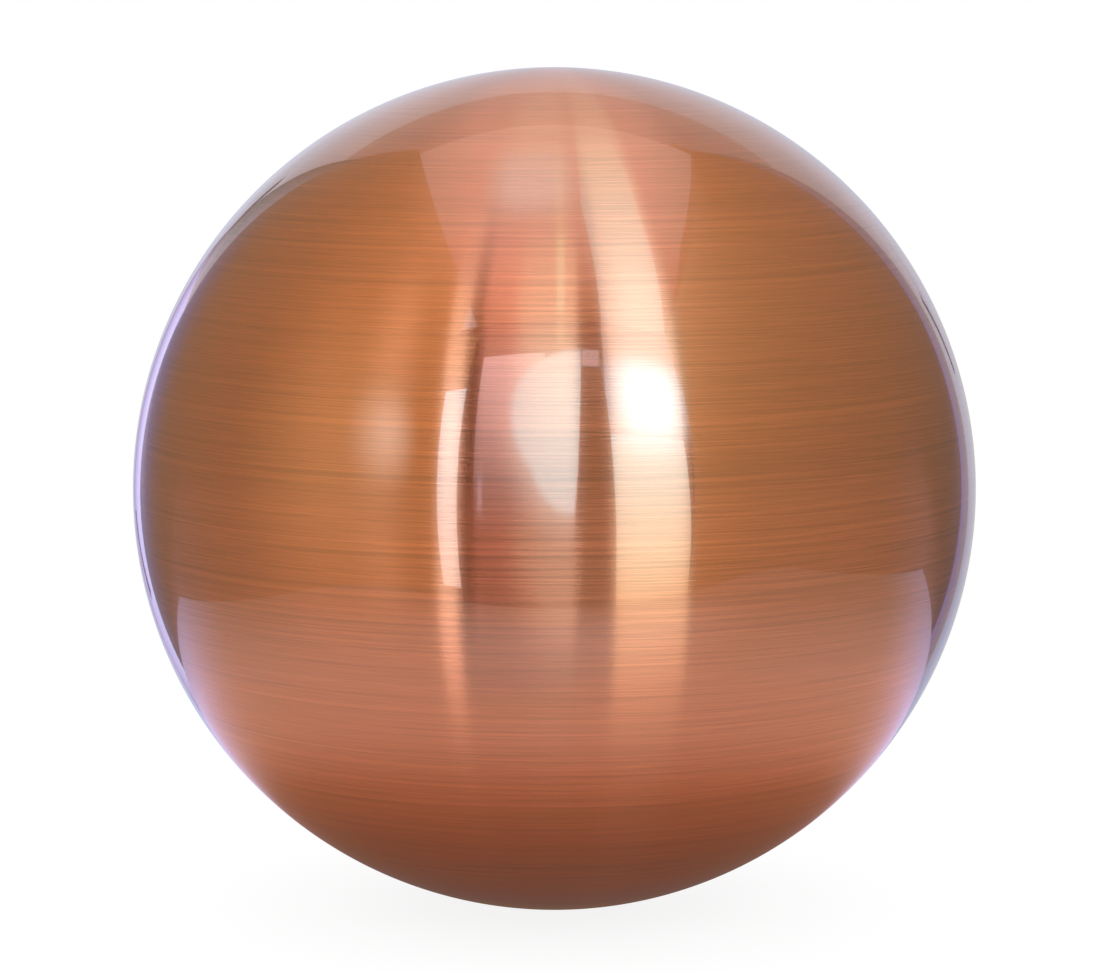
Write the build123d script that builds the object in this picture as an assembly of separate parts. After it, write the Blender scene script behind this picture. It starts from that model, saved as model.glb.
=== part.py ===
"""Steel garden ball.

The real ball is spun from two thin pressed domes, welded at the equator. The weld
is ground flush and brushed over, so the skin is one true sphere with no seam, neck,
hole or flat. It is sealed for good and can't be seen into, so it is one closed
solid, and its weight is the real hollow ball's.

The origin is the centre of the ball. +Z is the axis that the ball turned about when
it was brushed.
"""

import os

from build123d import *

# Size of the ball, in millimetres
ball_diameter = 254.0


def ball():
    """The closed ball, with its poles on the brushing axis."""
    return Sphere(ball_diameter / 2)


os.makedirs("parts", exist_ok=True)
export_step(ball(), "parts/ball.step")
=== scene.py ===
"""Looks of the copper-coloured steel ball: its brushed skin, the light tent it mirrors and the camera.

The tent stands round the ball as plain glowing panels that the camera doesn't see. Lengths
in the tent are given in ball radii, and angles in degrees.
"""

from math import cos, pi, radians, sin, sqrt

import bmesh
import bpy
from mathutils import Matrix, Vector, noise

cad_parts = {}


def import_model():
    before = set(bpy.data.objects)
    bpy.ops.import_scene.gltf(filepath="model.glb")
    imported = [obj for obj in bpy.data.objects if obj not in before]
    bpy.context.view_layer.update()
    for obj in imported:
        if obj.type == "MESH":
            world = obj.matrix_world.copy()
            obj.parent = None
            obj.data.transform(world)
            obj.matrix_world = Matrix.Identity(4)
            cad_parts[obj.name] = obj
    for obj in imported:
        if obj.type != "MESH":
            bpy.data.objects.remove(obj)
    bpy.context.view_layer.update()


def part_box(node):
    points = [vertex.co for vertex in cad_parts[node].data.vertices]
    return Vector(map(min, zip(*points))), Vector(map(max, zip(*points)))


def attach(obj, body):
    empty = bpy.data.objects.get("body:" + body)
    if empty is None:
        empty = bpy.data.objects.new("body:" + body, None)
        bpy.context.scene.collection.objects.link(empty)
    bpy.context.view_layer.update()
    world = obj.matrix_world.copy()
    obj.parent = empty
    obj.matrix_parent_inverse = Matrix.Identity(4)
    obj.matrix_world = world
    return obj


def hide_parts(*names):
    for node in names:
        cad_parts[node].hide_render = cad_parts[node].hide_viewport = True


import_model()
ball_low, ball_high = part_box("ball")
radius = (ball_high[2] - ball_low[2]) / 2

# The photograph's frame, in its own pixels
photo_width = 1107
photo_height = 972
ball_pixel_x = 554.4
ball_pixel_y = 488.5
ball_pixel_radius = 421.5

# The camera's place
camera_height_angle = 7.0
camera_distance_radii = 9.4
sensor_width_mm = 36.0

# The skin's mesh
skin_segments = 320
skin_rings = 160
press_wave_length = 0.055
press_wave_depth = 0.00002

# Colours of the finish, linear
groove_deep = (0.62, 0.258, 0.144, 1.0)
groove_fair = (0.82, 0.342, 0.191, 1.0)
matt_deep = (0.37, 0.087, 0.026, 1.0)
matt_fair = (0.89, 0.213, 0.065, 1.0)
film_deep = (0.82, 0.555, 0.415, 1.0)
film_fair = (0.91, 0.630, 0.470, 1.0)
white = (1.0, 1.0, 1.0, 1.0)

# The parts of the finish
groove_slope = 0.28
groove_roughness = 0.20
groove_stretch = 1.0
matt_roughness = 0.50
matt_stretch = 0.8
matt_share = 0.39
matt_variation = 0.2
film_roughness = 0.21
film_stretch = 1.0
film_share = 0.34
stretch_turn = 0.25
lacquer_roughness = 0.02
lacquer_ior = 2.0
equator_reach = 0.17
side_sway = 0.04

# Passes of the brush, with the width and length of their lines in metres
hair_pass = dict(tilt=(0.0, 0.0, 0.0), line_width=0.00028, line_length=0.015, start=3.0, detail=1.0)
crossing_pass = dict(tilt=(0.7, -0.5, 0.0), line_width=0.00045, line_length=0.014, start=40.0, detail=1.0)
stroke_pass = dict(tilt=(-0.4, 0.6, 0.0), line_width=0.0018, line_length=0.050, start=80.0, detail=1.0)
band_pass = dict(tilt=(0.3, 0.4, 0.0), line_width=0.012, line_length=0.110, start=120.0, detail=1.0)
sway_pass = dict(tilt=(-0.5, 0.4, 0.0), line_width=0.00035, line_length=0.040, start=160.0, detail=1.0)
scratch_pass = dict(tilt=(0.6, -0.5, 0.0), line_width=0.0010, line_length=0.060, start=200.0, detail=0.0)
line_middle = 0.5
line_roughness = 0.55
line_ends = 0.9
pressed_from = 0.30
pressed_to = 0.66

# How the passes add up to the tone of the lines
hair_weight = 0.43
crossing_weight = 0.27
stroke_weight = 0.20
band_weight = 0.10
line_contrast = 7.5
line_fading = 4.2

# Scratches, and streaks along the ground weld
scratch_from = 0.78
scratch_to = 0.84
scratch_depth = 0.3
weld_drop = 0.045
weld_reach = 0.030
weld_depth = 1.3
streak_from = 0.50
streak_to = 0.62

# Places of the Mix node's sockets for colours
mix_factor = 0
mix_first = 6
mix_second = 7
mix_result = 2


class Wire:
    """One output of a node tree. Operators on wires and numbers add Math nodes."""

    def __init__(self, tree, socket):
        self.tree = tree
        self.socket = socket

    @classmethod
    def node(cls, tree, kind, settings, inputs, output=0):
        """Any node: its settings come first, then the values or wires of its sockets."""
        made = tree.nodes.new(kind)
        for name, value in settings.items():
            if name == "stops":
                cls.set_stops(made.color_ramp.elements, value)
            else:
                setattr(made, name, value)
        for name, value in inputs.items():
            if isinstance(value, Wire):
                tree.links.new(value.socket, made.inputs[name])
            else:
                made.inputs[name].default_value = value
        return cls(tree, made.outputs[output])

    @staticmethod
    def set_stops(elements, stops):
        """Gives a colour ramp its places and colours."""
        while len(elements) < len(stops):
            elements.new(1.0)
        for element, (place, colour) in zip(elements, stops):
            element.position = place
            element.color = colour

    def math(self, operation, *values):
        """A Math node on these values, in this wire's tree."""
        inputs = dict(enumerate(values))
        return Wire.node(self.tree, "ShaderNodeMath", {"operation": operation}, inputs)

    def vector(self, operation, other=None, output=0):
        """A Vector Math node on this wire. For a scale, the other value is a number."""
        inputs = {0: self}
        if operation == "SCALE":
            inputs["Scale"] = other
        elif other is not None:
            inputs[1] = other
        settings = {"operation": operation}
        return Wire.node(self.tree, "ShaderNodeVectorMath", settings, inputs, output)

    def length(self):
        return self.vector("LENGTH", None, "Value")

    def ramp(self, start, end):
        """0 at start and 1 at end, with soft ends."""
        settings = {"interpolation_type": "SMOOTHSTEP"}
        inputs = {"Value": self, "From Min": start, "From Max": end}
        return Wire.node(self.tree, "ShaderNodeMapRange", settings, inputs)

    def axis(self, name):
        """One of a vector's three parts: X, Y or Z."""
        return Wire.node(self.tree, "ShaderNodeSeparateXYZ", {}, {0: self}, name)

    def __add__(self, other):
        return self.math("ADD", self, other)

    def __radd__(self, other):
        return self.math("ADD", other, self)

    def __sub__(self, other):
        return self.math("SUBTRACT", self, other)

    def __rsub__(self, other):
        return self.math("SUBTRACT", other, self)

    def __mul__(self, other):
        return self.math("MULTIPLY", self, other)

    def __rmul__(self, other):
        return self.math("MULTIPLY", other, self)

    def __truediv__(self, other):
        return self.math("DIVIDE", self, other)

    def __pow__(self, other):
        return self.math("POWER", self, other)

    def __abs__(self):
        return self.math("ABSOLUTE", self)


def coordinates(tree, kind):
    return Wire.node(tree, "ShaderNodeTexCoord", {}, {}, kind)


def emission(tree, colour):
    return Wire.node(tree, "ShaderNodeEmission", {}, {"Color": colour, "Strength": 1.0})


def transparent(tree):
    return Wire.node(tree, "ShaderNodeBsdfTransparent", {}, {})


def mix_colour(factor, first, second):
    inputs = {mix_factor: factor, mix_first: first, mix_second: second}
    return Wire.node(factor.tree, "ShaderNodeMix", {"data_type": "RGBA"}, inputs, mix_result)


def mix_shader(factor, first, second):
    inputs = {0: factor, 1: first, 2: second}
    return Wire.node(first.tree, "ShaderNodeMixShader", {}, inputs)


def seen_white(tree):
    """1 on camera, glossy and transmission rays, which have to meet white, and 0 on the others."""
    camera_ray = Wire.node(tree, "ShaderNodeLightPath", {}, {}, "Is Camera Ray")
    glossy_ray = Wire.node(tree, "ShaderNodeLightPath", {}, {}, "Is Glossy Ray")
    clear_ray = Wire.node(tree, "ShaderNodeLightPath", {}, {}, "Is Transmission Ray")
    seen = camera_ray + glossy_ray + clear_ray
    return seen.math("MINIMUM", seen, 1.0)


def new_material(name):
    """A material, its empty node tree, and its output's surface to plug a shader into."""
    material = bpy.data.materials.new(name)
    material.use_nodes = True
    tree = material.node_tree
    tree.nodes.clear()
    surface = tree.nodes.new("ShaderNodeOutputMaterial").inputs["Surface"]
    return material, tree, surface


def new_mesh(name, points, faces):
    mesh = bpy.data.meshes.new(name)
    mesh.from_pydata(points, [], faces)
    return mesh


def new_object(name, data):
    made = bpy.data.objects.new(name, data)
    bpy.context.scene.collection.objects.link(made)
    return made


def stage_off_camera(made):
    """Hides a thing of the stage from the camera."""
    made.visible_camera = False


# The ball's skin


def skin_point(ring, segment):
    """A point of the skin, drawn in a hair where the pressed sheet is slack."""
    latitude = pi * ring / skin_rings - pi / 2
    turn = 2 * pi * segment / skin_segments
    outward = Vector((cos(latitude) * cos(turn), cos(latitude) * sin(turn), sin(latitude)))
    slack = 0.5 + 0.5 * noise.noise(outward * radius / press_wave_length)
    return outward * (radius - press_wave_depth * slack)


def ball_skin():
    """A turned skin in rings of latitude, with a map of longitude and latitude."""
    form = bmesh.new()
    map_layer = form.loops.layers.uv.new("OFBake")
    bottom = form.verts.new(skin_point(0, 0))
    top = form.verts.new(skin_point(skin_rings, 0))
    rings = [[bottom] * skin_segments]
    for ring in range(1, skin_rings):
        rings.append([form.verts.new(skin_point(ring, s)) for s in range(skin_segments)])
    rings.append([top] * skin_segments)

    for ring in range(skin_rings):
        for segment in range(skin_segments):
            after = (segment + 1) % skin_segments
            corners = [
                (rings[ring][segment], segment, ring),
                (rings[ring][after], segment + 1, ring),
                (rings[ring + 1][after], segment + 1, ring + 1),
                (rings[ring + 1][segment], segment, ring + 1),
            ]
            if ring == 0:
                corners.pop(1)
            if ring == skin_rings - 1:
                corners.pop(2)
            face = form.faces.new([vert for vert, _, _ in corners])
            face.smooth = True
            for loop, (_, across, up) in zip(face.loops, corners):
                loop[map_layer].uv = (across / skin_segments, up / skin_rings)

    mesh = bpy.data.meshes.new("ball_skin")
    form.to_mesh(mesh)
    form.free()
    return new_object("ball_skin", mesh)


def brush_lines(place, tilt, line_width, line_length, start, detail):
    """Near the middle value: fine straight lines round the ball, from one pass of the brush."""
    tree = place.tree
    turned = Wire.node(
        tree,
        "ShaderNodeVectorRotate",
        {"rotation_type": "EULER_XYZ"},
        {"Vector": place, "Rotation": [radians(angle) for angle in tilt]},
    )
    latitude = turned.axis("Z").math("ARCSINE", turned.axis("Z"))
    level = turned.vector("MULTIPLY", (1.0, 1.0, 0.0)).vector("NORMALIZE")
    around = level.vector("SCALE", radius / line_length)
    down = latitude * (radius / line_width) + start
    grain = {"W": down, "Scale": 1.0, "Detail": detail, "Roughness": line_roughness}
    lines = Wire.node(tree, "ShaderNodeTexNoise", {"noise_dimensions": "1D"}, grain, "Fac")
    parts = {"X": around.axis("X"), "Y": around.axis("Y"), "Z": down * line_ends}
    spot = Wire.node(tree, "ShaderNodeCombineXYZ", {}, parts)
    patch = {"Vector": spot, "Scale": 1.0, "Detail": 0.0}
    pressed = Wire.node(tree, "ShaderNodeTexNoise", {}, patch, "Fac").ramp(pressed_from, pressed_to)
    return (lines - line_middle) * pressed + line_middle


def copper_brushed_steel():
    """Clear lacquer over copper-coloured metal that is brushed round the vertical axis.

    Each dome is brushed from its pole outwards, so the flanks of its grooves face the
    equator. They are too fine to see one by one, so they are shaders that lean. Matt metal
    lies between them, and a pale film over them where the lacquer follows their lines.
    """
    material, tree, surface = new_material("copper_brushed_steel")
    place = coordinates(tree, "Object").vector("NORMALIZE")

    hair = brush_lines(place, **hair_pass)
    crossing = brush_lines(place, **crossing_pass)
    stroke = brush_lines(place, **stroke_pass)
    band = brush_lines(place, **band_pass)
    sway = brush_lines(place, **sway_pass)
    scratch = brush_lines(place, **scratch_pass)

    fine = hair * hair_weight + crossing * crossing_weight
    grain = fine + stroke * stroke_weight + band * band_weight
    firmness = line_contrast - place.axis("Z") ** 2.0 * line_fading
    tone = (grain - line_middle) * firmness + line_middle
    pale_scratch = scratch.ramp(scratch_from, scratch_to)
    dark_scratch = (1.0 - scratch).ramp(scratch_from, scratch_to)
    worn = pale_scratch * scratch_depth - dark_scratch * scratch_depth
    beside_weld = abs(place.axis("Z") + weld_drop).ramp(0.0, weld_reach)
    streak = (1.0 - stroke).ramp(streak_from, streak_to)
    weld = (1.0 - beside_weld) * streak * weld_depth
    wear = (tone + worn - weld).ramp(0.0, 1.0)
    groove = mix_colour(wear, groove_deep, groove_fair)
    ridge = mix_colour(wear, matt_deep, matt_fair)
    lacquer = mix_colour(tone.ramp(0.0, 1.0), film_deep, film_fair)

    out = Wire.node(tree, "ShaderNodeNewGeometry", {}, {}, "Normal")
    upright = Wire.node(tree, "ShaderNodeCombineXYZ", {}, {"X": 0.0, "Y": 0.0, "Z": 1.0})
    along = upright.vector("CROSS_PRODUCT", out).vector("NORMALIZE")
    across = out.vector("CROSS_PRODUCT", along)
    swayed = out.vector("ADD", along.vector("SCALE", (sway - line_middle) * side_sway))

    def leaning(slope):
        return swayed.vector("ADD", across.vector("SCALE", slope)).vector("NORMALIZE")

    def lacquered(base, roughness, stretch, normal):
        inputs = {
            "Base Color": base,
            "Metallic": 1.0,
            "Roughness": roughness,
            "Specular Tint": white,
            "Anisotropic": stretch,
            "Anisotropic Rotation": stretch_turn,
            "Coat Weight": 1.0,
            "Coat Roughness": lacquer_roughness,
            "Coat IOR": lacquer_ior,
            "Normal": normal,
        }
        return Wire.node(tree, "ShaderNodeBsdfPrincipled", {}, inputs)

    rising_flank = lacquered(groove, groove_roughness, groove_stretch, leaning(groove_slope))
    falling_flank = lacquered(groove, groove_roughness, groove_stretch, leaning(-groove_slope))
    matt = lacquered(ridge, matt_roughness, matt_stretch, leaning(0.0))
    film = lacquered(lacquer, film_roughness, film_stretch, leaning(0.0))
    upper_dome = place.axis("Z").ramp(-equator_reach, equator_reach)
    flanks = mix_shader(upper_dome, rising_flank, falling_flank)
    metal = mix_shader((hair - line_middle) * matt_variation + matt_share, flanks, matt)
    skin = mix_shader(film_share, metal, film)
    tree.links.new(skin.socket, surface)
    return material


# The light tent, in ball radii

tent_left = -2.95
tent_left_front_low = -5.77
tent_left_front_high = -4.8
tent_right_low = 4.0
tent_right_front = -6.1
tent_front = -6.0
tent_back = 3.6
tent_top = 7.0
tent_bottom = -2.6
tent_width = (-6.0, 6.0)
layer_step = 0.02


def glow(name, lights, soft, roundness, straight_right):
    """A panel's light: one, or four from its lower left corner round. It can fade to a rounded edge."""
    material, tree, surface = new_material(name)
    spot = coordinates(tree, "UV")
    colours = [(*light, 1.0) for light in lights]
    colour = colours[0]
    if len(colours) == 4:
        lower = mix_colour(spot.axis("X"), colours[0], colours[1])
        upper = mix_colour(spot.axis("X"), colours[3], colours[2])
        colour = mix_colour(spot.axis("Y"), lower, upper)
    shader = emission(tree, colour)
    if soft > 0:
        wide = 1.0 - spot.axis("X") if straight_right else spot.axis("X") * 2.0 - 1.0
        tall = spot.axis("Y") * 2.0 - 1.0
        reach = abs(wide) ** roundness + abs(tall) ** roundness
        fade = (reach ** (1.0 / roundness)).ramp(1.0 - soft, 1.0)
        shader = mix_shader(fade, shader, transparent(tree))
    tree.links.new(shader.socket, surface)
    return material


def panel(name, corners, lights, soft=0.0, roundness=8.0, straight_right=False):
    """A flat four-cornered panel: lower left, lower right, upper right and upper left."""
    mesh = new_mesh(name, [Vector(corner) * radius for corner in corners], [(0, 1, 2, 3)])
    map_layer = mesh.uv_layers.new(name="panel")
    for loop, uv in zip(map_layer.data, [(0, 0), (1, 0), (1, 1), (0, 1)]):
        loop.uv = uv
    mesh.materials.append(glow(name, lights, soft, roundness, straight_right))
    stage_off_camera(new_object(name, mesh))


def rising(low_light, high_light):
    """The four corner lights of a panel that changes from its lower or front side to the other."""
    return [low_light, low_light, high_light, high_light]


def sideways(left_light, right_light):
    """The four corner lights of a panel that changes from its left side to its right."""
    return [left_light, right_light, right_light, left_light]


def upright_panel(name, depth, heights, low_sides, high_sides, lights, **edge):
    """A panel across the front or the back of the tent, between two heights."""
    corners = [
        (low_sides[0], depth, heights[0]),
        (low_sides[1], depth, heights[0]),
        (high_sides[1], depth, heights[1]),
        (high_sides[0], depth, heights[1]),
    ]
    panel(name, corners, lights, **edge)


# The tent's ceiling

ceiling_back = 3.25
ceiling_seam = -1.5
ceiling_right_back = 3.0
ceiling_right_seam = 3.5
ceiling_right_front = 4.5
ceiling_lap = 0.5
overhead_seam = -0.95
overhead_seam_sides = (0.64, 2.13)
ceiling_pale = (0.95, 0.70, 0.62)
ceiling_seam_light = (1.10, 0.68, 0.60)
ceiling_dark = (0.68, 0.26, 0.09)
ceiling_side_light = (0.60, 0.36, 0.20)
skylight_front = (1.25, 1.50, 1.55)
skylight_back = (1.00, 0.90, 0.75)
overhead_back_light = (1.00, 0.78, 0.62)
overhead_middle_light = (1.12, 1.30, 1.22)
overhead_front_light = (1.50, 1.35, 1.25)
crack_light = (1.10, 1.05, 0.70)


def ceiling_panel(name, layer, depths, front_sides, back_sides, lights, **edge):
    """A panel of the ceiling, from its front edge to its back. Higher layers hang lower."""
    height = tent_top - layer_step * layer
    corners = [
        (front_sides[0], depths[0], height),
        (front_sides[1], depths[0], height),
        (back_sides[1], depths[1], height),
        (back_sides[0], depths[1], height),
    ]
    panel(name, corners, lights, **edge)


def ceiling():
    """The pale ceiling with its darker front, and the strip, skylight and crack in it."""
    ceiling_panel(
        "ceiling_far",
        layer=0,
        depths=(ceiling_seam, ceiling_back),
        front_sides=(tent_left, ceiling_right_seam),
        back_sides=(tent_left, ceiling_right_back),
        lights=[ceiling_pale],
    )
    ceiling_panel(
        "ceiling_near",
        layer=0,
        depths=(tent_front, ceiling_seam),
        front_sides=(tent_left, ceiling_right_front),
        back_sides=(tent_left, ceiling_right_seam),
        lights=rising(ceiling_dark, ceiling_seam_light),
    )
    beside = (ceiling_right_back - ceiling_lap, ceiling_right_front + ceiling_lap)
    ceiling_panel(
        "ceiling_side",
        layer=-1,
        depths=(tent_front, tent_back),
        front_sides=beside,
        back_sides=beside,
        lights=[ceiling_side_light],
    )
    ceiling_panel(
        "skylight",
        layer=1,
        depths=(-1.75, 2.5),
        front_sides=(-1.9, 0.9),
        back_sides=(-1.6, 0.8),
        lights=rising(skylight_front, skylight_back),
        soft=0.7,
        roundness=3.0,
    )
    ceiling_panel(
        "overhead_near",
        layer=2,
        depths=(tent_front, overhead_seam),
        front_sides=(1.75, 4.45),
        back_sides=overhead_seam_sides,
        lights=rising(overhead_front_light, overhead_middle_light),
    )
    ceiling_panel(
        "overhead_far",
        layer=2,
        depths=(overhead_seam, 2.65),
        front_sides=overhead_seam_sides,
        back_sides=(0.38, 1.05),
        lights=rising(overhead_middle_light, overhead_back_light),
    )
    ceiling_panel(
        "crack",
        layer=2,
        depths=(tent_front, -1.6),
        front_sides=(0.05, 0.40),
        back_sides=(0.03, 0.30),
        lights=[crack_light],
        soft=0.4,
    )


# The tent's sides

left_back_low = (0.11, 0.105, 0.13)
left_back_high = (0.46, 0.30, 0.15)
left_front_low = (0.44, 0.25, 0.080)
left_front_high = (0.98, 0.55, 0.25)
right_front_low = (0.43, 0.225, 0.068)
right_front_high = (0.85, 0.64, 0.36)
right_back_low = (0.05, 0.08, 0.10)
right_back_high = (0.56, 0.29, 0.13)
left_haze_light = (0.24, 0.24, 0.42)
left_sheen_light = (0.78, 0.50, 0.24)
wall_spot_light = (1.75, 1.50, 1.22)
under_table_light = (0.02, 0.015, 0.01)


def wall_glow(name, layer, depths, heights, light, **edge):
    """A soft round glow on the left wall, between two depths and two heights."""
    side = tent_left + layer_step * layer
    corners = [
        (side, depths[0], heights[0]),
        (side, depths[1], heights[0]),
        (side, depths[1], heights[1]),
        (side, depths[0], heights[1]),
    ]
    panel(name, corners, [light], soft=1.0, roundness=2.0, **edge)


def sides():
    """The two walls, with the glows on the left one, and the dark below the table."""
    panel(
        "left_wall",
        [
            (tent_left, tent_back, tent_bottom),
            (tent_left, tent_left_front_low, tent_bottom),
            (tent_left, tent_left_front_high, tent_top),
            (tent_left, tent_back, tent_top),
        ],
        [left_back_low, left_front_low, left_front_high, left_back_high],
    )
    wall_glow(
        "left_haze",
        layer=1,
        depths=(1.2, tent_back),
        heights=(tent_bottom, 3.0),
        light=left_haze_light,
        straight_right=True,
    )
    wall_glow("left_sheen", layer=1, depths=(-0.2, -4.4), heights=(-1.6, 3.6), light=left_sheen_light)
    wall_glow("wall_spot", layer=2, depths=(-2.1, -4.5), heights=(0.2, 2.5), light=wall_spot_light)
    panel(
        "right_wall",
        [
            (tent_right_low, tent_right_front, tent_bottom),
            (tent_right_low, tent_back, tent_bottom),
            (ceiling_right_back, tent_back, tent_top),
            (ceiling_right_front, tent_right_front, tent_top),
        ],
        [right_front_low, right_back_low, right_back_high, right_front_high],
    )
    panel(
        "under_table",
        [
            (tent_left, tent_front, tent_bottom),
            (tent_right_low, tent_front, tent_bottom),
            (tent_right_low, tent_back, tent_bottom),
            (tent_left, tent_back, tent_bottom),
        ],
        [under_table_light],
    )


# The tent's back

back_seam = 4.0
back_top = 9.0
end_seam = 1.0
left_end_sides = (-3.1, -2.0)
backdrop_sides = (-2.4, 2.9)
back_left_low = (0.58, 0.78, 1.15)
back_right_low = (0.35, 0.40, 0.60)
back_left_high = (0.90, 0.85, 0.86)
back_right_high = (0.62, 0.56, 0.54)
back_top_light = (0.60, 0.47, 0.42)
backdrop_light = (0.60, 0.58, 0.60)
left_end_low_lights = [(1.20, 1.30, 2.10), (0.40, 0.30, 0.55)]
left_end_high_lights = [(0.90, 0.85, 0.98), (0.12, 0.16, 0.13)]
right_end_lights = [(0.34, 0.30, 0.26), (0.32, 0.30, 0.75)]
gap_light = (0.02, 0.02, 0.03)


def back_panel(name, layer, heights, low_sides, high_sides, lights, **edge):
    """A panel at the back of the tent. Higher layers stand nearer to the ball."""
    depth = tent_back - layer_step * layer
    upright_panel(name, depth, heights, low_sides, high_sides, lights, **edge)


def back():
    """The tent's back: pale behind the ball, with the walls' far ends and the gaps beside them."""
    back_panel(
        "back_low",
        layer=0,
        heights=(tent_bottom, back_seam),
        low_sides=tent_width,
        high_sides=tent_width,
        lights=[back_left_low, back_right_low, back_right_high, back_left_high],
    )
    back_panel(
        "back_high",
        layer=0,
        heights=(back_seam, back_top),
        low_sides=tent_width,
        high_sides=tent_width,
        lights=[back_top_light],
    )
    back_panel(
        "backdrop",
        layer=1,
        heights=(-2.1, 1.3),
        low_sides=backdrop_sides,
        high_sides=backdrop_sides,
        lights=[backdrop_light],
        soft=0.5,
        roundness=2.0,
    )
    back_panel(
        "left_end_low",
        layer=2,
        heights=(tent_bottom, end_seam),
        low_sides=left_end_sides,
        high_sides=left_end_sides,
        lights=sideways(*left_end_low_lights),
    )
    back_panel(
        "left_end_high",
        layer=2,
        heights=(end_seam, 4.6),
        low_sides=left_end_sides,
        high_sides=(-3.1, -2.95),
        lights=sideways(*left_end_high_lights),
    )
    back_panel(
        "right_end",
        layer=2,
        heights=(tent_bottom, 6.5),
        low_sides=(2.95, 4.1),
        high_sides=(3.05, 4.1),
        lights=sideways(*right_end_lights),
    )
    back_panel(
        "left_gap",
        layer=3,
        heights=(1.32, 1.90),
        low_sides=(-2.22, -2.08),
        high_sides=(-2.12, -1.98),
        lights=[gap_light],
    )
    back_panel(
        "left_low_gap",
        layer=3,
        heights=(-1.10, -0.55),
        low_sides=(-2.60, -2.38),
        high_sides=(-2.30, -2.18),
        lights=[gap_light],
    )
    back_panel(
        "right_gap",
        layer=3,
        heights=(0.28, 0.95),
        low_sides=(2.38, 2.52),
        high_sides=(2.56, 2.72),
        lights=[gap_light],
    )


# The tent's front

room_seam = 5.1
corner_foot = 4.44
strip_seam = 3.85
strip_seam_sides = (-3.48, -2.50)
sill_top = -0.7
sill_top_sides = (1.54, 3.95)
right_window_top = 2.2
room_light = (0.01, 0.008, 0.006)
upper_room_light = (0.05, 0.04, 0.03)
pole_light = (0.01, 0.007, 0.006)
dark_strip_light = (0.26, 0.17, 0.10)
dark_block_light = (0.10, 0.02, 0.0)
strip_low_light = (2.3, 1.9, 1.75)
strip_high_light = (2.15, 2.75, 3.1)
strip_top_light = (0.7, 0.36, 0.12)
pink_foot_far = (0.02, 0.01, 0.01)
pink_foot_near = (0.15, 0.08, 0.05)
pink_far_light = (2.1, 1.5, 1.6)
pink_near_light = (2.35, 1.77, 1.8)
halo_light = (2.6, 1.9, 1.9)
gleam_light = (1.1, 0.9, 1.1)
corner_light = (1.7, 1.4, 1.5)
window_light = (1.95, 2.4, 2.55)
slot_light = (0.50, 0.40, 0.20)
right_sill_light = (0.95, 0.58, 0.27)
right_low_light = (1.75, 1.68, 1.25)
right_high_light = (1.8, 2.5, 2.65)
lamp_light = (2.2, 4.1, 5.1)
over_lamp_light = (1.25, 0.88, 0.85)


def front_panel(name, layer, heights, low_sides, high_sides, lights, **edge):
    """A panel at the open front of the tent. Higher layers stand nearer to the ball."""
    depth = tent_front + layer_step * layer
    upright_panel(name, depth, heights, low_sides, high_sides, lights, **edge)


def dark_room():
    """The room before the tent."""
    front_panel(
        "room",
        layer=0,
        heights=(tent_bottom, room_seam),
        low_sides=tent_width,
        high_sides=tent_width,
        lights=[room_light],
    )
    front_panel(
        "upper_room",
        layer=0,
        heights=(room_seam, tent_top),
        low_sides=tent_width,
        high_sides=tent_width,
        lights=[upper_room_light],
    )


def left_window():
    """A tall narrow window, and the dark pole on its right."""
    front_panel(
        "left_strip",
        layer=1,
        heights=(-2.0, strip_seam),
        low_sides=(-3.12, -2.40),
        high_sides=strip_seam_sides,
        lights=rising(strip_low_light, strip_high_light),
    )
    front_panel(
        "left_strip_top",
        layer=1,
        heights=(strip_seam, 6.5),
        low_sides=strip_seam_sides,
        high_sides=(-4.0, -2.70),
        lights=[strip_top_light],
    )
    front_panel(
        "pole",
        layer=3,
        heights=(tent_bottom, 6.0),
        low_sides=(-2.50, -1.96),
        high_sides=(-2.75, -2.35),
        lights=[pole_light],
    )


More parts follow.
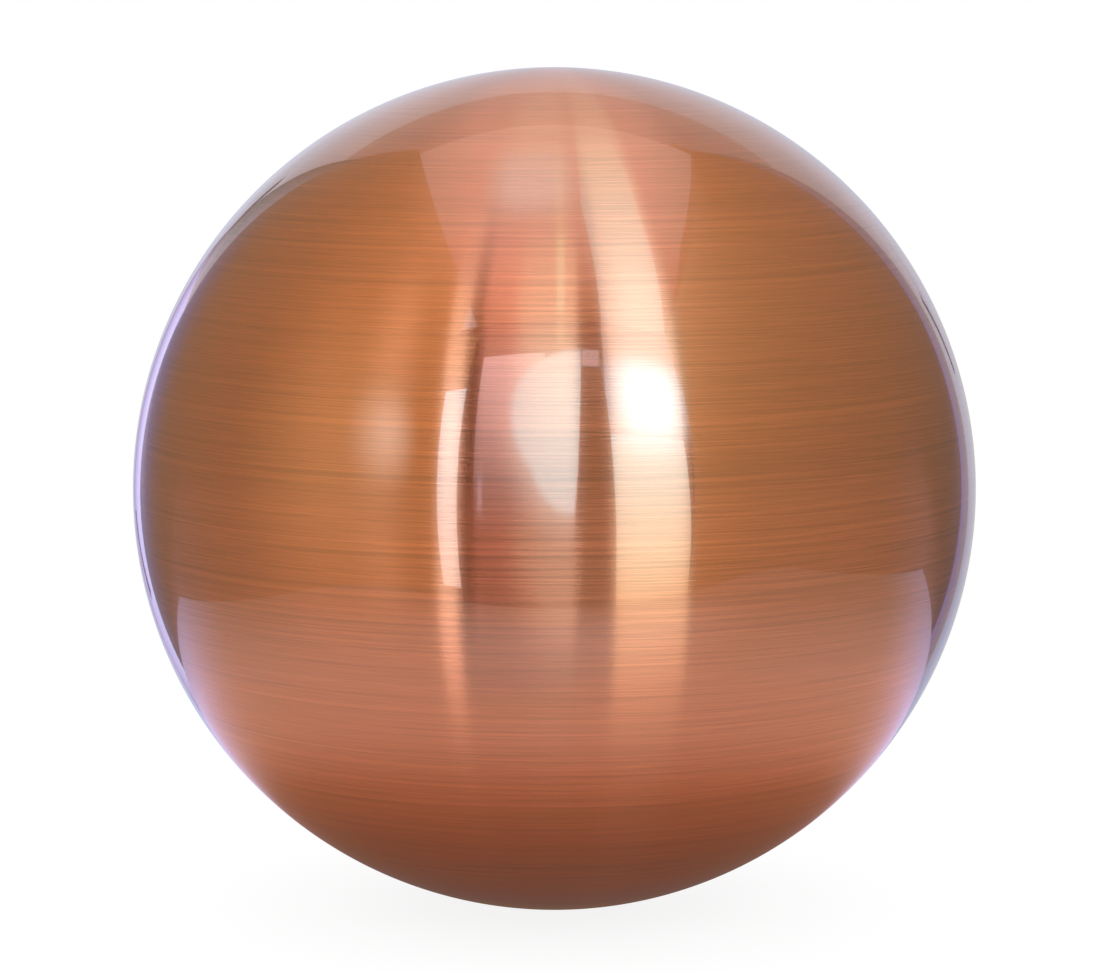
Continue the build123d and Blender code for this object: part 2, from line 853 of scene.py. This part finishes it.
def middle_window():
    """A window with a soft round left side, its pink surroundings, and the frame on its right."""
    front_panel(
        "pink_zone",
        layer=1,
        heights=(-0.4, room_seam),
        low_sides=(-2.3, -0.2),
        high_sides=(-2.5, -0.3),
        lights=[pink_foot_far, pink_foot_near, pink_near_light, pink_far_light],
    )
    front_panel(
        "window_halo",
        layer=2,
        heights=(-0.9, 5.6),
        low_sides=(-1.75, 0.46),
        high_sides=(-2.45, 0.88),
        lights=[halo_light],
        soft=0.7,
        roundness=2.0,
        straight_right=True,
    )
    front_panel(
        "gleam",
        layer=4,
        heights=(-0.15, 1.4),
        low_sides=(-2.0, -1.8),
        high_sides=(-2.06, -1.84),
        lights=[gleam_light],
        soft=0.8,
    )
    front_panel(
        "window",
        layer=3,
        heights=(-0.1, 5.42),
        low_sides=(-1.05, 0.46),
        high_sides=(-1.68, 0.88),
        lights=[window_light],
        soft=0.14,
        roundness=2.0,
        straight_right=True,
    )
    front_panel(
        "window_corner",
        layer=3,
        heights=(corner_foot, 5.34),
        low_sides=(0.78, 1.42),
        high_sides=(0.84, 1.50),
        lights=[corner_light],
        soft=0.3,
    )
    front_panel(
        "slot",
        layer=3,
        heights=(5.3, tent_top),
        low_sides=(0.05, 0.38),
        high_sides=(0.05, 0.39),
        lights=[slot_light],
        soft=0.3,
        roundness=6.0,
    )
    front_panel(
        "dark_strip",
        layer=3,
        heights=(tent_bottom, corner_foot),
        low_sides=(0.56, 1.60),
        high_sides=(0.84, 1.45),
        lights=[dark_strip_light],
    )
    front_panel(
        "dark_block",
        layer=2,
        heights=(5.4, 6.8),
        low_sides=(0.80, 1.55),
        high_sides=(0.88, 1.62),
        lights=[dark_block_light],
        soft=0.3,
        roundness=4.0,
    )


def right_window():
    """A wide window over a dimmer sill, and the lamp before its upper part."""
    front_panel(
        "right_sill",
        layer=1,
        heights=(-2.5, sill_top),
        low_sides=(1.65, 3.99),
        high_sides=sill_top_sides,
        lights=rising(right_sill_light, right_low_light),
    )
    front_panel(
        "right_window",
        layer=1,
        heights=(sill_top, right_window_top),
        low_sides=sill_top_sides,
        high_sides=(1.39, 3.90),
        lights=rising(right_low_light, right_high_light),
    )
    front_panel(
        "over_lamp",
        layer=1,
        heights=(right_window_top, tent_top),
        low_sides=(1.39, 3.88),
        high_sides=(1.70, 4.60),
        lights=[over_lamp_light],
    )
    front_panel(
        "lamp",
        layer=2,
        heights=(1.3, 5.7),
        low_sides=(1.0, 4.4),
        high_sides=(1.1, 5.0),
        lights=[lamp_light],
        soft=0.75,
        roundness=3.0,
    )


def front():
    """The tent's open front: a dark room with three windows and a lamp."""
    dark_room()
    left_window()
    middle_window()
    right_window()


# A ring behind the ball

collar_light = (0.40, 0.26, 0.17, 1.0)
collar_inner = 1.003
collar_fade = 1.25
collar_outer = 1.7
collar_steps = 96


def rear_collar():
    """A dim ring round the ball, solid from behind alone, so that its outline shows there."""
    points = []
    faces = []
    for step in range(collar_steps):
        angle = 2 * pi * step / collar_steps
        outward = Vector((cos(angle), 0.0, sin(angle))) * radius
        points += [outward * collar_inner, outward * collar_outer]
        here = 2 * step
        after = 2 * ((step + 1) % collar_steps)
        faces.append((after, after + 1, here + 1, here))
    mesh = new_mesh("rear_collar", points, faces)

    material, tree, surface = new_material("rear_collar")
    away = coordinates(tree, "Object").length() / radius
    fade = away.ramp(collar_fade, collar_outer)
    from_front = Wire.node(tree, "ShaderNodeNewGeometry", {}, {}, "Backfacing")
    clear = fade.math("MAXIMUM", fade, from_front)
    shader = mix_shader(clear, emission(tree, collar_light), transparent(tree))
    tree.links.new(shader.socket, surface)
    mesh.materials.append(material)
    made = new_object("rear_collar", mesh)
    made.visible_diffuse = False
    made.visible_shadow = False
    stage_off_camera(made)


# The table, a glowing panel with its light, shadow and sheen painted on, in ball radii, with the drop of
# its top in metres

table_left = -2.92
table_right = 4.0
table_front = -2.88
table_back = 1.25
table_height = -1.0
table_drop = 0.0001
table_corner = 1.2
corner_steps = 12
table_painted_light_reach = 3.0
# Painted light of the table by distance from the ball's foot: the ball's painted shadow and warm bounce
# light close to it, brighter further off
table_painted_light = [
    (0.00, (0.21, 0.125, 0.064)),
    (0.30, (0.17, 0.105, 0.088)),
    (0.60, (0.215, 0.115, 0.075)),
    (0.90, (0.31, 0.15, 0.088)),
    (1.20, (0.61, 0.37, 0.28)),
    (1.70, (0.74, 0.48, 0.40)),
    (2.30, (0.62, 0.43, 0.35)),
    (3.00, (0.50, 0.34, 0.25)),
]
# A bluish light painted on the table towards its back, between the two depths that follow
table_back_painted_light = (1.15, 1.5, 2.8, 1.0)
back_light_start = -0.2
back_light_end = 1.25
sheen_left = -1.9
sheen_right = 2.5
sheen_back = -1.4
table_sheen_light = (0.86, 0.60, 0.54)


def table_outline():
    """The table's corners, with the two front ones rounded."""
    points = [(table_left, table_back, table_height)]
    left_centre = table_left + table_corner
    right_centre = table_right - table_corner
    for centre, start in [(left_centre, 180), (right_centre, 270)]:
        for step in range(corner_steps + 1):
            angle = radians(start + 90 * step / corner_steps)
            across = centre + table_corner * cos(angle)
            deep = table_front + table_corner + table_corner * sin(angle)
            points.append((across, deep, table_height))
    points.append((table_right, table_back, table_height))
    return points


def table():
    """The white table under the ball as a glowing panel: the ball's shadow and its warm bounce light are
    painted into its light close to the ball, a bluish light is painted towards its back, and a painted
    sheen lies near its front edge.
    """
    points = [Vector(point) * radius for point in table_outline()]
    mesh = new_mesh("table", points, [tuple(range(len(points)))])

    material, tree, surface = new_material("table")
    position = coordinates(tree, "Object").vector("SCALE", 1.0 / radius)
    away = position.vector("MULTIPLY", (1.0, 1.0, 0.0)).length()
    stops = [(place / table_painted_light_reach, (*light, 1.0)) for place, light in table_painted_light]
    # The painted shadow and bounce light near the ball, times the painted bluish light towards the back
    shade = Wire.node(tree, "ShaderNodeValToRGB", {"stops": stops}, {"Fac": away / table_painted_light_reach})
    behind = position.axis("Y").ramp(back_light_start, back_light_end)
    light = shade.vector("MULTIPLY", mix_colour(behind, white, table_back_painted_light))
    tree.links.new(emission(tree, light).socket, surface)
    mesh.materials.append(material)
    made = new_object("table", mesh)
    made.location.z = -table_drop
    made.visible_diffuse = False
    made.visible_shadow = False
    stage_off_camera(made)

    sheen_height = table_height + layer_step / 2
    sheen_corners = [
        (sheen_left, table_front, sheen_height),
        (sheen_right, table_front, sheen_height),
        (sheen_right, sheen_back, sheen_height),
        (sheen_left, sheen_back, sheen_height),
    ]
    panel("table_sheen", sheen_corners, [table_sheen_light], soft=1.0, roundness=2.0)


# The floor and the world, with the drop of the floor in metres

floor_reach = 40.0
floor_drop = 0.0004
floor_colour = (0.95, 0.95, 0.95, 1.0)
shade_near = 0.1
shade_far = 0.95
shade_white = 0.88
open_light = 0.9


def floor():
    """The pale floor that the camera sees: shaded close to the ball, white further off."""
    material, tree, surface = new_material("pale_floor")
    away = coordinates(tree, "Object").length() / radius
    matt = Wire.node(tree, "ShaderNodeBsdfDiffuse", {}, {"Color": floor_colour})
    fade = away.ramp(shade_near, shade_far) * (1.0 - shade_white) + shade_white
    shader = mix_shader(fade * seen_white(tree), matt, emission(tree, white))
    tree.links.new(shader.socket, surface)

    reach = floor_reach * radius
    corners = [(-reach, -reach, 0), (reach, -reach, 0), (reach, reach, 0), (-reach, reach, 0)]
    mesh = new_mesh("floor", corners, [(0, 1, 2, 3)])
    mesh.materials.append(material)
    made = new_object("floor", mesh)
    made.location.z = -radius - floor_drop
    made.visible_glossy = False


def world():
    """White behind everything, and a plain level of light on what the tent leaves open."""
    scene_world = bpy.data.worlds.new("studio")
    bpy.context.scene.world = scene_world
    scene_world.use_nodes = True
    tree = scene_world.node_tree
    tree.nodes.clear()
    surface = tree.nodes.new("ShaderNodeOutputWorld").inputs["Surface"]
    strength = seen_white(tree) * (1.0 - open_light) + open_light
    backdrop = Wire.node(tree, "ShaderNodeBackground", {}, {"Color": white, "Strength": strength})
    tree.links.new(backdrop.socket, surface)


def camera():
    """The photograph's camera, far enough off to show the ball as it does."""
    distance = camera_distance_radii * radius
    rise = radians(camera_height_angle)
    lens_pixels = ball_pixel_radius * sqrt(camera_distance_radii**2 - 1)
    data = bpy.data.cameras.new("camera")
    data.sensor_width = sensor_width_mm
    data.lens = lens_pixels * sensor_width_mm / photo_width
    data.shift_x = (photo_width / 2 - ball_pixel_x) / photo_width
    data.shift_y = (ball_pixel_y - photo_height / 2) / photo_width
    made = new_object("camera", data)
    made.location = (0.0, -distance * cos(rise), distance * sin(rise))
    made.rotation_euler = (pi / 2 - rise, 0.0, 0.0)
    bpy.context.scene.camera = made


def build():
    skin = ball_skin()
    skin.data.materials.append(copper_brushed_steel())
    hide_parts("ball")
    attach(skin, "root")
    sides()
    ceiling()
    back()
    front()
    rear_collar()
    table()
    floor()
    world()
    camera()
    bpy.context.scene.view_settings.view_transform = "Standard"


build()
